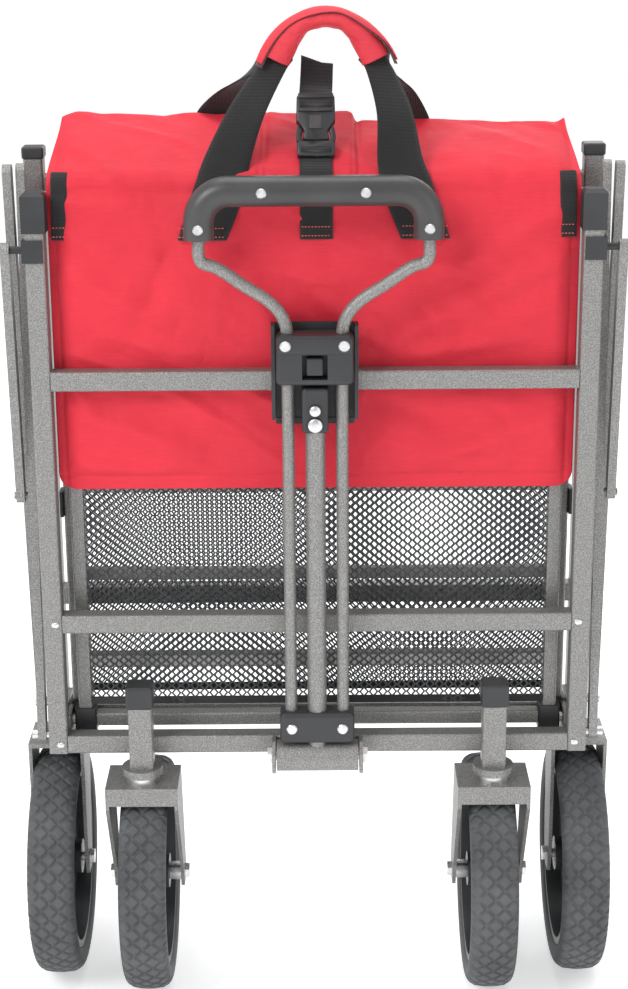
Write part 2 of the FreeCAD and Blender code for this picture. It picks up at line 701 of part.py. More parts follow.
def slab(start, end, across, width, thick):
    run = end.sub(start)
    side = V(across.x, across.y, across.z).normalize().multiply(width / 2)
    ring = [start.sub(side), start.add(side), end.add(side), end.sub(side)]
    normal = run.cross(across).normalize()
    return Part.Face(Part.makePolygon(ring + ring[:1])).extrude(normal.multiply(thick))


def web_leg(sign, z0, z1):
    face = MAT_FRONT_Y - WEB_GAP
    half = WEB_W / 2
    a = sign * LEG_X
    b = sign * (LEG_X - LEG_SLOPE * (z1 - z0))
    return plate_xz([(a - half, z0), (a + half, z0), (b + half, z1), (b - half, z1)],
                    face - WEB_T, face)


def carry_leg(sign, front):
    end_x = SLEEVE_X + sign * (SLEEVE_SPAN + 1)
    if front:
        foot = V(sign * LEG_TOP_X, MAT_FRONT_Y - 1.5, MAT_FOLD_Z + 3)
        head = V(end_x, SLEEVE_Y - 9, SLEEVE_END_Z - 6)
    else:
        foot = V(sign * LEG_X, MAT_BACK_Y - 6, MAT_BACK_Z + 4)
        head = V(end_x, SLEEVE_Y + 11, SLEEVE_END_Z - 6)
    return slab(foot, head, AXIS_X, WEB_W - 8, WEB_T)


def carry_sleeve():
    left = V(SLEEVE_X - SLEEVE_SPAN, SLEEVE_Y, SLEEVE_END_Z)
    right = V(SLEEVE_X + SLEEVE_SPAN, SLEEVE_Y, SLEEVE_END_Z)
    arc = Part.Arc(left, V(SLEEVE_X, SLEEVE_Y, SLEEVE_APEX), right)
    tangent = arc.tangent(arc.FirstParameter)[0]
    ring = Part.Wire([Part.makeCircle(SLEEVE_R, left, tangent)])
    return Part.Wire([arc.toShape()]).makePipeShell([ring], True, False)


def mat():
    half = MAT_HALF
    front = soft_box(-half, half, MAT_FRONT_Y, MAT_FRONT_Y + MAT_T, MAT_BOTTOM, MAT_FOLD_Z - 6, 2.8)
    rise = V(0, MAT_BACK_Y - MAT_FRONT_Y, MAT_BACK_Z - MAT_FOLD_Z)
    start = V(0, MAT_FRONT_Y, MAT_FOLD_Z)
    top = slab(start, start.add(rise), AXIS_X, 2 * half - 8, MAT_T)
    return {
        "mat_front_flap": front,
        "mat_top_flap": top.makeFillet(2.0, top.Edges),
    }


def tilted(shape):
    return shape.rotate(BUCKLE_FOOT, AXIS_X, -BUCKLE_TILT)


def webbing():
    face = MAT_FRONT_Y - WEB_GAP
    middle = BUCKLE_FOOT.x
    strap = box(middle - STRAP_W / 2, middle + STRAP_W / 2, face - WEB_T, face, WEB_FOOT_Z,
                MAT_FOLD_Z)
    rise = slab(V(middle, face - WEB_T, MAT_FOLD_Z + 2.5), BUCKLE_FOOT.add(V(0, -3, -1.5)), AXIS_X,
                STRAP_W, WEB_T)
    near, far = LOOP_WEB_X
    loop = box(-far, -near, face - WEB_T, face, WEB_FOOT_Z, MAT_FOLD_Z)
    legs = [web_leg(sign, WEB_FOOT_Z, MAT_FOLD_Z) for sign in (-1, 1)]
    return group([strap, rise, pair(loop)] + legs)


def buckle():
    x, y, z = BUCKLE_FOOT
    half = BUCKLE_HALF
    plug = soft_box(x - half, x + half, y - 5, y + 5, z, z + PLUG_H, 2.0)
    for shift in PRONG_XS:
        low, high = x + shift - PRONG_HALF, x + shift + PRONG_HALF
        plug = plug.fuse(box(low, high, y - PRONG_HALF, y + PRONG_HALF, z + 10, z + PRONG_TOP))
    socket = soft_box(x - half, x + half, y - 5.5, y + 5.5, z + PLUG_H + 0.6, z + SOCKET_TOP, 2.0)
    pocket = box(x - POCKET_HALF, x + POCKET_HALF, y - 3, y + 3, z + PLUG_H, z + PRONG_TOP + 10)
    tail = box(x - STRAP_W / 2, x + STRAP_W / 2, y + 5.8, y + 5.8 + WEB_T, z + TAIL_Z[0],
               z + TAIL_Z[1])
    return {
        "buckle_plug": tilted(plug),
        "buckle_socket": tilted(socket.cut(pocket)),
        "strap_tail": tilted(tail),
    }


def soft_goods():
    parts = mat()
    parts["mat_webbing"] = webbing()
    parts["carry_sleeve"] = carry_sleeve()
    parts["carry_webbing"] = group([carry_leg(s, f) for s in (-1, 1) for f in (True, False)])
    parts.update(buckle())
    return parts


def build():
    parts = {}
    for maker in (front_frame, mast, pull_loop, wheels, rear_frame, front_panel, rear_panel,
                  side_links, soft_goods):
        parts.update(maker())
    for shape in parts.values():
        shape.translate(V(0, -ORIGIN_Y, 0))
    return parts


os.makedirs("parts", exist_ok=True)
for node, shape in build().items():
    shape.exportStep("parts/" + node + ".step")
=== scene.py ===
import bmesh
import bpy
import json
import math
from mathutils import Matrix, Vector, noise


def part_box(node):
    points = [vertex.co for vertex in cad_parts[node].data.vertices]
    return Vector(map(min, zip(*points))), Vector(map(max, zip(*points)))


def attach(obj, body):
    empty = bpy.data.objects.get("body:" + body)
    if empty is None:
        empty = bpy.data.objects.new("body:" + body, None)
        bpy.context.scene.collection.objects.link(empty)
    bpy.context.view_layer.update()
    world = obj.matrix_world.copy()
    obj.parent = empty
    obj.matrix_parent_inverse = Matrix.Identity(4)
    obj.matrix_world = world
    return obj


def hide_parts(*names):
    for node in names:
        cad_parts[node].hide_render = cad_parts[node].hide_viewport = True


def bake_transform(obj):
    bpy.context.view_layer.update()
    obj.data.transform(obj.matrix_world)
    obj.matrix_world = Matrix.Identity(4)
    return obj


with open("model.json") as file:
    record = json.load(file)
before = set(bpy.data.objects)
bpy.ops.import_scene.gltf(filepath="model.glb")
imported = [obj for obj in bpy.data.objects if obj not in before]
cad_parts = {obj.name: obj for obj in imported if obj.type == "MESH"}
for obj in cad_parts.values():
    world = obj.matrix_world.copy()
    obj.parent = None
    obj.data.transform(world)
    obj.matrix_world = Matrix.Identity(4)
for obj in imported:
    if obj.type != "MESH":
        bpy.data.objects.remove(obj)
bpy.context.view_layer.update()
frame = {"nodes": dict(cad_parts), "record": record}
NODES = frame["nodes"]
MM = 0.001
UP = Vector((0, 0, 1))
RIGHT = Vector((1, 0, 0))
FRONT = Vector((0, -1, 0))


# ---------------------------------------------------------------- materials

class Shader:
    """A node material with a principled shader, built up one node at a time."""

    def __init__(self, name, **sockets):
        self.material = bpy.data.materials.new(name)
        self.material.use_nodes = True
        self.tree = self.material.node_tree
        self.bsdf = self.tree.nodes["Principled BSDF"]
        self.coords = self.tree.nodes.new("ShaderNodeTexCoord").outputs["Object"]
        for key, value in sockets.items():
            self.bsdf.inputs[key.replace("_", " ")].default_value = value

    def node(self, kind, inputs=None, **settings):
        made = self.tree.nodes.new("ShaderNode" + kind)
        for key, value in settings.items():
            setattr(made, key, value)
        for key, value in (inputs or {}).items():
            self.feed(value, made.inputs[key])
        return made

    def feed(self, value, socket):
        if isinstance(value, bpy.types.NodeSocket):
            self.tree.links.new(value, socket)
        else:
            socket.default_value = value

    def noise(self, scale, detail=3.0, roughness=0.5, coords=None):
        made = self.node("TexNoise", {"Vector": coords or self.coords, "Scale": scale,
                                      "Detail": detail, "Roughness": roughness})
        return made.outputs["Fac"]

    def voronoi(self, scale):
        made = self.node("TexVoronoi", {"Vector": self.coords, "Scale": scale})
        return made.outputs["Distance"]

    def stretched(self, scale):
        return self.node("Mapping", {"Vector": self.coords, "Scale": scale}).outputs["Vector"]

    def wave(self, scale, direction):
        made = self.node("TexWave", {"Vector": self.coords, "Scale": scale},
                         bands_direction=direction)
        return made.outputs["Fac"]

    def math(self, operation, a, b):
        return self.node("Math", {0: a, 1: b}, operation=operation).outputs["Value"]

    def ramp(self, factor, low, high, start=0.3, end=0.7):
        """Colours from low to high as factor goes from start to end."""
        made = self.node("ValToRGB", {"Fac": factor})
        stops = made.color_ramp.elements
        for stop, colour, position in ((stops[0], low, start), (stops[1], high, end)):
            stop.position = position
            stop.color = (*colour, 1)
        return made.outputs["Color"]

    def grey_ramp(self, factor, low, high, start=0.3, end=0.7):
        return self.ramp(factor, (low,) * 3, (high,) * 3, start, end)

    def colour(self, output):
        self.feed(output, self.bsdf.inputs["Base Color"])

    def roughness(self, output):
        self.feed(output, self.bsdf.inputs["Roughness"])

    def bump(self, layers):
        """Stacked bumps from (height, strength, distance in metres) layers."""
        normal = None
        for height, strength, distance in layers:
            made = self.node("Bump", {"Height": height, "Strength": strength,
                                      "Distance": distance})
            if normal is not None:
                self.feed(normal, made.inputs["Normal"])
            normal = made.outputs["Normal"]
        self.feed(normal, self.bsdf.inputs["Normal"])


# Texture scales are in repeats per metre and bump distances in metres.

def hammertone():
    """Grey hammered paint: fine cells with a finer grain over them."""
    s = Shader("hammertone", Metallic=0.55)
    cells = s.voronoi(900)
    drift = s.noise(9, 2)
    grain = s.noise(1500, 2)
    fleck = s.math("ADD", cells, s.math("MULTIPLY", grain, 0.6))
    s.colour(s.ramp(fleck, (0.125, 0.124, 0.120), (0.335, 0.332, 0.322), 0.35, 1.0))
    uneven = s.math("ADD", grain, s.math("MULTIPLY", drift, 0.3))
    s.roughness(s.grey_ramp(uneven, 0.33, 0.52, 0.4, 0.9))
    s.bump([(cells, 0.5, 0.0006), (grain, 0.2, 0.0003)])
    return s.material


def zinc():
    s = Shader("zinc", Metallic=1.0)
    s.colour(s.ramp(s.noise(240, 3), (0.62, 0.62, 0.63), (0.82, 0.82, 0.83)))
    s.roughness(s.grey_ramp(s.noise(90, 4), 0.2, 0.38))
    s.bump([(s.noise(700, 2), 0.1, 0.0002)])
    return s.material


def black_plastic(name, dark, light, rough):
    s = Shader(name, Specular_IOR_Level=0.5)
    s.colour(s.ramp(s.noise(14, 3), dark, light, 0.35, 0.7))
    s.roughness(s.grey_ramp(s.noise(420, 2), rough - 0.06, rough + 0.08))
    s.bump([(s.noise(1900, 2), 0.22, 0.00025)])
    return s.material


def tyre_rubber():
    """Grey rubber with pale dust and grit in it."""
    s = Shader("tyre_rubber", Roughness=0.7)
    dust = s.noise(22, 5, 0.65)
    grit = s.noise(900, 2)
    s.colour(s.ramp(s.math("ADD", dust, s.math("MULTIPLY", grit, 0.2)),
                    (0.050, 0.054, 0.057), (0.122, 0.128, 0.132), 0.42, 0.85))
    s.roughness(s.grey_ramp(dust, 0.55, 0.8))
    s.bump([(grit, 0.25, 0.0003), (s.voronoi(260), 0.1, 0.0003)])
    return s.material


WEAVE = 560


def red_fabric(name="red_fabric", dark=(0.60, 0.022, 0.040), light=(0.78, 0.036, 0.062)):
    """Plain red weave, cloudy in tone, with slubs and soft creases."""
    s = Shader(name, Sheen_Weight=0.05, Sheen_Roughness=0.4, Specular_IOR_Level=0.28)
    weave = s.math("MULTIPLY", s.wave(WEAVE, "Z"), s.wave(WEAVE, "X"))
    cloudy = s.noise(7, 4, 0.6)
    slub = s.noise(1.0, 2, 0.5, s.stretched((60, 60, 900)))
    tone = s.math("ADD", s.math("MULTIPLY", cloudy, 0.75), s.math("MULTIPLY", slub, 0.25))
    s.colour(s.ramp(tone, dark, light, 0.3, 0.72))
    s.roughness(s.grey_ramp(s.math("ADD", weave, cloudy), 0.5, 0.68, 0.3, 1.2))
    s.bump([(s.noise(26, 5, 0.6), 0.30, 0.004), (weave, 0.30, 0.0004)])
    return s.material


def black_webbing():
    s = Shader("black_webbing", Sheen_Weight=0.2, Specular_IOR_Level=0.3)
    weave = s.math("MULTIPLY", s.wave(420, "DIAGONAL"), s.wave(300, "Z"))
    s.colour(s.ramp(s.math("ADD", weave, s.math("MULTIPLY", s.noise(30, 3), 0.5)),
                    (0.006, 0.006, 0.007), (0.034, 0.032, 0.034), 0.15, 0.95))
    s.roughness(s.grey_ramp(weave, 0.75, 0.55))
    s.bump([(weave, 0.7, 0.0007)])
    return s.material


def thread(name, low, high):
    s = Shader(name, Roughness=0.6, Sheen_Weight=0.3)
    s.colour(s.ramp(s.noise(500, 2), low, high))
    s.bump([(s.wave(1500, "DIAGONAL"), 0.4, 0.0002)])
    return s.material


def mesh_cloth():
    """The dark grey strands of the net."""
    s = Shader("mesh_thread", Specular_IOR_Level=0.4)
    s.colour(s.ramp(s.noise(160, 3), (0.028, 0.030, 0.032), (0.075, 0.078, 0.082)))
    s.roughness(s.grey_ramp(s.noise(300, 2), 0.5, 0.7))
    s.bump([(s.wave(1800, "Z"), 0.3, 0.0002)])
    return s.material


PAINT = hammertone()
STEEL = zinc()
PLASTIC = black_plastic("moulded_plastic", (0.024, 0.025, 0.027), (0.042, 0.043, 0.046), 0.40)
GRIP = black_plastic("grip_plastic", (0.040, 0.040, 0.040), (0.064, 0.064, 0.065), 0.34)
RIM = black_plastic("rim_plastic", (0.026, 0.028, 0.031), (0.045, 0.047, 0.05), 0.34)
RUBBER = tyre_rubber()
RED = red_fabric()
SLEEVE_RED = red_fabric("sleeve_fabric", (0.58, 0.034, 0.050), (0.76, 0.056, 0.078))
# Painted shade: a dark sheet under the carry flap that shows only as a strip along the flap's
# edge, where its shadow falls.
FLAP_SHADE = thread("painted_flap_shade", (0.045, 0.012, 0.016), (0.10, 0.025, 0.032))
WEB = black_webbing()
RED_THREAD = thread("red_thread", (0.55, 0.07, 0.05), (0.85, 0.16, 0.10))
SEAM_THREAD = thread("seam_thread", (0.42, 0.015, 0.03), (0.6, 0.03, 0.05))
NET = mesh_cloth()

BY_SLOT = {"frame_paint": PAINT, "steel": STEEL, "black_plastic": PLASTIC, "rim_plastic": RIM,
           "tyre": RUBBER, "red_fabric": RED, "webbing": WEB, "mesh": NET}


def paint_frame():
    """Each CAD part takes its slot's material, and the grip its own plastic."""
    for part in frame["record"]["subparts"]:
        node = NODES[part["node"]]
        node.data.materials.clear()
        node.data.materials.append(BY_SLOT[part["material_slot"]])
    for name in ("grip_shell_front", "grip_shell_rear"):
        NODES[name].data.materials.clear()
        NODES[name].data.materials.append(GRIP)


# ---------------------------------------------------------------- mesh tools

def new_piece(name, verts, faces, material, smooth=True):
    """A mesh object with outward faces and the given material."""
    mesh = bpy.data.meshes.new(name)
    mesh.from_pydata([tuple(v) for v in verts], [], faces)
    mesh.validate()
    mesh.materials.append(material)
    made = bpy.data.objects.new(name, mesh)
    bpy.context.scene.collection.objects.link(made)
    fix = bmesh.new()
    fix.from_mesh(mesh)
    bmesh.ops.recalc_face_normals(fix, faces=fix.faces)
    fix.to_mesh(mesh)
    fix.free()
    for face in mesh.polygons:
        face.use_smooth = smooth
    return made


def add_modifier(piece, kind, **settings):
    made = piece.modifiers.new(kind.lower(), kind)
    for key, value in settings.items():
        setattr(made, key, value)
    return made


def grid_shell(outer, inner, columns, rows):
    """Verts and faces of a closed pad from two grids, outer and inner, each rows of columns."""
    verts = list(outer) + list(inner)
    shift = len(outer)
    faces = []
    for r in range(rows - 1):
        for c in range(columns - 1):
            a = r * columns + c
            quad = (a, a + 1, a + columns + 1, a + columns)
            faces.append(quad)
            faces.append(tuple(shift + i for i in reversed(quad)))
    edge = list(range(columns))
    edge += [r * columns + columns - 1 for r in range(1, rows)]
    edge += [(rows - 1) * columns + c for c in range(columns - 2, -1, -1)]
    edge += [r * columns for r in range(rows - 2, 0, -1)]
    for a, b in zip(edge, edge[1:] + edge[:1]):
        faces.append((a, b, shift + b, shift + a))
    return verts, faces


def loft(rings):
    """Verts and faces of a closed tube through rings of equal length."""
    verts = [p for ring in rings for p in ring]
    count = len(rings[0])
    faces = []
    for r in range(len(rings) - 1):
        for c in range(count):
            a = r * count + c
            b = r * count + (c + 1) % count
            faces.append((a, b, b + count, a + count))
    last = (len(rings) - 1) * count
    faces.append(tuple(range(count))[::-1])
    faces.append(tuple(range(last, last + count)))
    return verts, faces


def join(parts):
    """Several (verts, faces) meshes as one."""
    verts = []
    faces = []
    for more, quads in parts:
        shift = len(verts)
        verts += more
        faces += [tuple(i + shift for i in quad) for quad in quads]
    return verts, faces


def smooth_step(value, low, high):
    """0 at low and below, 1 at high and above, and an S curve between them."""
    t = min(1.0, max(0.0, (value - low) / (high - low)))
    return t * t * (3 - 2 * t)


def hill(value, centre, width):
    """A smooth bump of height 1 at centre."""
    return math.exp(-((value - centre) / width) ** 2)


# ---------------------------------------------------------------- the wrapped mat

FLAP_LOW, FLAP_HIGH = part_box("mat_front_flap")
TOP_LOW, TOP_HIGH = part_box("mat_top_flap")
BAR_LOW, BAR_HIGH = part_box("upper_crossbar")
BAR_Z = (BAR_LOW.z + BAR_HIGH.z) / 2
MAT_HALF = FLAP_HIGH.x
MAT_PAD = 7.5 * MM
FOLD_Z = FLAP_HIGH.z + 5 * MM
FOLD_R = 15 * MM
LIP_R = 8 * MM
LIP_DROP = 7 * MM
RISE = math.atan2(TOP_HIGH.z - FOLD_Z - 1 * MM, TOP_HIGH.y - FLAP_LOW.y)
TURN = math.pi / 2 - RISE
UPRIGHT = FOLD_Z - FLAP_LOW.z - FOLD_R * math.tan(TURN / 2)
FOLD_RUN = FOLD_R * TURN
SLOPE = (TOP_HIGH.y - FLAP_LOW.y) / math.cos(RISE) - FOLD_R * math.tan(TURN / 2) - LIP_R
LIP_TURN = RISE + math.radians(70)
LIP_RUN = LIP_R * LIP_TURN
MAT_LENGTH = UPRIGHT + FOLD_RUN + SLOPE + LIP_RUN + LIP_DROP
MAT_COLUMNS = 240
MAT_ROWS = 210
MAT_CORNER_R = 14 * MM
MAT_NARROW = 6 * MM
HEM_SEAM_S = 12 * MM
EDGE_SEAM_IN = 7 * MM
SEAM_XS = (-43 * MM, -38 * MM, 31 * MM, 36 * MM)
FLAP_STEP_X = 33 * MM
SEWN_GAP = 0.2 * MM


def bend_run(start, heading, radius, run):
    """A point and heading after run along an arc that turns towards the back."""
    angle = heading - run / radius
    centre = start + Vector((math.sin(heading), -math.cos(heading))) * radius
    return centre - Vector((math.sin(angle), -math.cos(angle))) * radius, angle


def mat_profile(s):
    """Point (y, z) and heading of the mat's outer face at s metres from its front hem."""
    here = Vector((FLAP_LOW.y, FLAP_LOW.z))
    heading = math.pi / 2
    if s <= UPRIGHT:
        return here + Vector((0, s)), heading
    here = here + Vector((0, UPRIGHT))
    s -= UPRIGHT
    if s <= FOLD_RUN:
        return bend_run(here, heading, FOLD_R, s)
    here, heading = bend_run(here, heading, FOLD_R, FOLD_RUN)
    s -= FOLD_RUN
    along = Vector((math.cos(heading), math.sin(heading)))
    if s <= SLOPE:
        return here + along * s, heading
    here = here + along * SLOPE
    s -= SLOPE
    if s <= LIP_RUN:
        return bend_run(here, heading, LIP_R, s)
    here, heading = bend_run(here, heading, LIP_R, LIP_RUN)
    return here + Vector((math.cos(heading), math.sin(heading))) * (s - LIP_RUN), heading


def crease(x, z, x0, z0, x1, z1, width):
    """1 on the line from (x0, z0) to (x1, z1), fading to 0 beside it and at its ends."""
    run = Vector((x1 - x0, z1 - z0))
    rel = Vector((x - x0, z - z0))
    t = rel.dot(run) / run.length_squared
    if t < -0.1 or t > 1.1:
        return 0.0
    off = (rel - run * t).length
    ends = max(0.0, math.sin(math.pi * min(1, max(0, t)))) ** 0.6
    return math.exp(-(off / width) ** 2) * ends


# Creases of the front face, in millimetres: x and z of both ends, width, and height,
# which is negative where the crease goes in.
CREASES = [
    (-190, 700, -60, 668, 9, 1.6), (-205, 640, -110, 596, 10, 1.8), (-205, 668, -120, 650, 8, 1.2),
    (205, 690, 110, 640, 9, 1.7), (208, 655, 60, 585, 10, 2.0), (200, 620, 120, 578, 9, 1.4),
    (-110, 664, -150, 575, 10, -1.5), (-60, 662, -30, 580, 9, 1.2), (60, 664, 110, 575, 10, 1.6),
    (105, 662, 160, 590, 9, -1.3), (-205, 530, -90, 486, 10, 1.6), (-130, 536, -20, 500, 9, 1.1),
    (205, 525, 80, 478, 10, 1.7), (40, 535, 150, 500, 9, -1.2), (-200, 482, -120, 470, 7, 1.1),
    (-20, 640, 40, 590, 8, 1.0), (-180, 590, -90, 570, 7, 1.0), (180, 585, 60, 568, 7, 1.1),
]
CREASE_GAIN = 2.6
RIGHT_DROP = 6.5 * MM


def mat_bulge(x, s, side):
    """The padding's crowns above and below the crossbar and on top, with its creases."""
    z = FLAP_LOW.z + s
    upper = hill(z, BAR_Z + 75 * MM, 62 * MM) * 9 * MM
    lower = hill(z, BAR_Z - 48 * MM, 38 * MM) * 5.5 * MM
    top = hill(s, UPRIGHT + FOLD_RUN + SLOPE * 0.45, 38 * MM) * 5 * MM
    rise = (upper + lower + top) * side
    if s < UPRIGHT:
        for x0, z0, x1, z1, width, height in CREASES:
            near = crease(x, z, x0 * MM, z0 * MM, x1 * MM, z1 * MM, width * MM)
            rise += CREASE_GAIN * height * MM * near
    return rise


def mat_ripple(x, s):
    """Broad ripples, fine ones, and the sharp ridges of pulled cloth."""
    ripple = noise.fractal((x * 14, s * 14, 1.7), 0.9, 2.1, 4) * 2.2 * MM
    ripple += noise.noise((x * 52 + s * 30, s * 52, 5.1)) * 0.7 * MM
    pull = 1 - abs(noise.noise((x * 11 + s * 19, s * 9 - x * 6, 8.3))) * 2
    return ripple + max(0.0, pull - 0.55) * 4.2 * MM


def top_seams(x, s):
    """The top flap's sewn lines, and its right side, which lies lower towards the back."""
    if s <= UPRIGHT - 4 * MM:
        return 0.0
    fade = smooth_step(s, UPRIGHT - 4 * MM, UPRIGHT + 10 * MM)
    lines = sum(hill(x, seam, 1.4 * MM) for seam in SEAM_XS) * -1.5 * MM * fade
    beyond = smooth_step(x, FLAP_STEP_X - 1 * MM, FLAP_STEP_X + 1 * MM)
    drop = RIGHT_DROP * smooth_step(s, UPRIGHT + FOLD_RUN, MAT_LENGTH)
    return lines - (2.0 * MM + drop) * beyond * fade


def mat_puff(x, s):
    """How far the padded face stands out from its profile at x, s."""
    side = 1 - smooth_step(abs(x), MAT_HALF - 20 * MM, MAT_HALF)
    hem = smooth_step(s, 0, 22 * MM) * (1 - smooth_step(s, MAT_LENGTH - 10 * MM, MAT_LENGTH))
    fold_s = UPRIGHT - 2 * MM + 5 * MM * noise.noise((x * 9, 0, 3))
    fold_mark = -1.6 * MM * hill(s, fold_s, 5 * MM)
    hem_seam = -1.3 * MM * hill(s, HEM_SEAM_S, 1.3 * MM)
    edge_seam = -1.1 * MM * hill(abs(x), MAT_HALF - EDGE_SEAM_IN, 1.3 * MM)
    soft = (mat_bulge(x, s, side) + mat_ripple(x, s) * side) * hem
    return soft + fold_mark * side + top_seams(x, s) + hem_seam + edge_seam


def mat_point(x, s, lift=0.0):
    """A point on the mat's outer face, lift metres above it, and the face's normal."""
    here, heading = mat_profile(s)
    normal = Vector((0, -math.sin(heading), math.cos(heading)))
    return Vector((x, here.x, here.y)) + normal * (mat_puff(x, s) + lift), normal


def corner_width(s):
    """The mat's half width at s, with rounded lower corners and a narrower top."""
    radius = MAT_CORNER_R
    short = max(0.0, radius - s)
    rounded = radius - math.sqrt(max(0.0, radius * radius - short * short))
    narrow = MAT_NARROW * smooth_step(s, UPRIGHT, UPRIGHT + FOLD_RUN + SLOPE)
    return MAT_HALF - rounded - narrow


def wrapped_mat():
    """The padded mat, folded over the upper crossbar, as one closed quilted sheet."""
    outer = []
    inner = []
    for r in range(MAT_ROWS):
        s = MAT_LENGTH * r / (MAT_ROWS - 1)
        half = corner_width(s)
        for c in range(MAT_COLUMNS):
            u = 2 * c / (MAT_COLUMNS - 1) - 1
            x = half * u
            point, normal = mat_point(x, s)
            rim = min(half - abs(x), s, MAT_LENGTH - s)
            pad = MAT_PAD * (0.42 + 0.58 * math.sqrt(smooth_step(rim, 0, 9 * MM)))
            flat, _ = mat_profile(s)
            base = Vector((x, flat.x, flat.y)) - normal * pad
            outer.append(point)
            inner.append(base)
    verts, faces = grid_shell(outer, inner, MAT_COLUMNS, MAT_ROWS)
    piece = new_piece("wrapped_mat", verts, faces, RED)
    add_modifier(piece, "SUBSURF", levels=1, render_levels=1)
    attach(piece, "mat")
    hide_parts("mat_front_flap", "mat_top_flap")


def stitch(point, along, normal, length, width):
    """Verts and faces of one thread stitch, a small hexagonal bead."""
    across = along.cross(normal).normalized()
    rings = []
    for t, size in ((-0.5, 0.35), (-0.3, 1.0), (0.3, 1.0), (0.5, 0.35)):
        ring = []
        for k in range(6):
            angle = math.tau * k / 6
            off = across * math.cos(angle) + normal * math.sin(angle)
            ring.append(point + along * (t * length) + off * (width / 2 * size))
        rings.append(ring)
    return loft(rings)


def stitch_piece(name, runs, pitch, width, material, body):
    """Stitches every pitch along each run, a list of (point, normal)."""
    beads = []
    for run in runs:
        travelled = 0.0
        for (a, normal), (b, _) in zip(run, run[1:]):
            step = b - a
            while travelled < step.length:
                spot = a + step * (travelled / step.length)
                beads.append(stitch(spot, step.normalized(), normal, pitch * 0.62, width))
                travelled += pitch
            travelled -= step.length
    verts, faces = join(beads)
    piece = new_piece(name, verts, faces, material)
    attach(piece, body)


def mat_line(x0, s0, x1, s1, lift, count):
    """count (point, normal) pairs on the mat from x0, s0 to x1, s1."""
    line = []
    for i in range(count):
        t = i / (count - 1)
        line.append(mat_point(x0 + (x1 - x0) * t, s0 + (s1 - s0) * t, lift))
    return line


def mat_seams():
    """Thread along the hem, both side edges and the top flap's seams."""
    edge = MAT_HALF - EDGE_SEAM_IN
    corner = edge - 8 * MM
    top = UPRIGHT + FOLD_RUN + SLOPE
    runs = [mat_line(-corner, HEM_SEAM_S, corner, HEM_SEAM_S, SEWN_GAP, 120)]
    runs += [mat_line(sign * edge, 16 * MM, sign * edge, UPRIGHT, SEWN_GAP, 90)
             for sign in (-1, 1)]
    runs += [mat_line(x, UPRIGHT + 4 * MM, x, top, SEWN_GAP, 40) for x in SEAM_XS]
    stitch_piece("mat_stitches", runs, 3.4 * MM, 0.8 * MM, SEAM_THREAD, "mat")


# ---------------------------------------------------------------- webbing

RIBBON_CELLS = 8
STRIP_STEPS = 70
LEG_STEPS = 60
WEB_THICK = 1.8 * MM
STRAP_W = 26 * MM
LOOP_W = 13 * MM
LEG_W = 39 * MM
WEB_FOOT_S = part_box("mat_webbing")[0].z - FLAP_LOW.z
LOOP_X = 201 * MM
STRAP_X = 2 * MM
LEG_X = 88 * MM
LEG_IN = 74 * MM
REAR_LEG_X = 82 * MM


def ribbon(points, acrosses, normals, widths, thick):
    """Verts and faces of a strap whose middle follows points, with rounded selvedges."""
    rings = []
    for p, a, n, w in zip(points, acrosses, normals, widths):
        ring = []
        for side in (1, -1):
            for k in range(RIBBON_CELLS + 1):
                u = (k / RIBBON_CELLS * 2 - 1) * side
                edge = 1 - 0.55 * smooth_step(abs(u), 0.86, 1.0)
                ring.append(p + a * (u * w / 2) + n * (side * thick / 2 * edge))
        rings.append(ring)
    return loft(rings)


def spline(points, count):
    """count points on a smooth line through points."""
    ends = [points[0] * 2 - points[1]] + list(points) + [points[-1] * 2 - points[-2]]
    spans = len(points) - 1
    made = []
    for i in range(count):
        t = i / (count - 1) * spans
        k = min(spans - 1, int(t))
        t -= k
        a, b, c, d = ends[k:k + 4]
        made.append(0.5 * ((2 * b) + (c - a) * t + (2 * a - 5 * b + 4 * c - d) * t * t
                           + (3 * b - a - 3 * c + d) * t ** 3))
    return made


def frames_along(points, facings):
    """Across and normal directions of a strap whose face looks roughly along its facings."""
    acrosses = []
    normals = []
    for i in range(len(points)):
        ahead = points[min(i + 1, len(points) - 1)]
        behind = points[max(i - 1, 0)]
        along = (ahead - behind).normalized()
        across = along.cross(facings[i]).normalized()
        acrosses.append(across)
        normals.append(across.cross(along).normalized())
    return acrosses, normals


def mat_strip(x0, x1, s1, width):
    """A strap sewn to the mat from the webbing's foot up to x1, s1."""
    count = STRIP_STEPS
    line = mat_line(x0, WEB_FOOT_S, x1, s1, SEWN_GAP + WEB_THICK / 2, count)
    points = [p for p, _ in line]
    normals = [n for _, n in line]
    acrosses = []
    for i in range(count):
        along = (points[min(i + 1, count - 1)] - points[max(i - 1, 0)]).normalized()
        acrosses.append(along.cross(normals[i]).normalized())
    return ribbon(points, acrosses, normals, [width] * count, WEB_THICK)


def side_loops():
    """The two straps near the mat's edges and the buckle's strap between them."""
    parts = [mat_strip(sign * LOOP_X, sign * (LOOP_X - 1 * MM), UPRIGHT + 12 * MM, LOOP_W)
             for sign in (-1, 1)]
    parts.append(mat_strip(STRAP_X, STRAP_X, UPRIGHT + FOLD_RUN + 16 * MM, STRAP_W))
    verts, faces = join(parts)
    piece = new_piece("sewn_webbing", verts, faces, WEB)
    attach(piece, "mat")
    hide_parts("mat_webbing")


def box_stitches():
    """Two rows of red thread across the foot of every strap on the mat."""
    runs = []
    lift = WEB_THICK + 0.5 * MM
    for x, width in ((-LOOP_X, LOOP_W), (LOOP_X, LOOP_W), (STRAP_X, STRAP_W),
                     (-LEG_X, LEG_W), (LEG_X, LEG_W)):
        half = width / 2 - 2 * MM
        for s in (WEB_FOOT_S + 3 * MM, WEB_FOOT_S + 10 * MM):
            middle, normal = mat_point(x, s, lift)
            runs.append([(middle + RIGHT * (half * (t / 6 - 1)), normal) for t in range(13)])
    stitch_piece("red_box_stitches", runs, 2.6 * MM, 0.9 * MM, RED_THREAD, "mat")


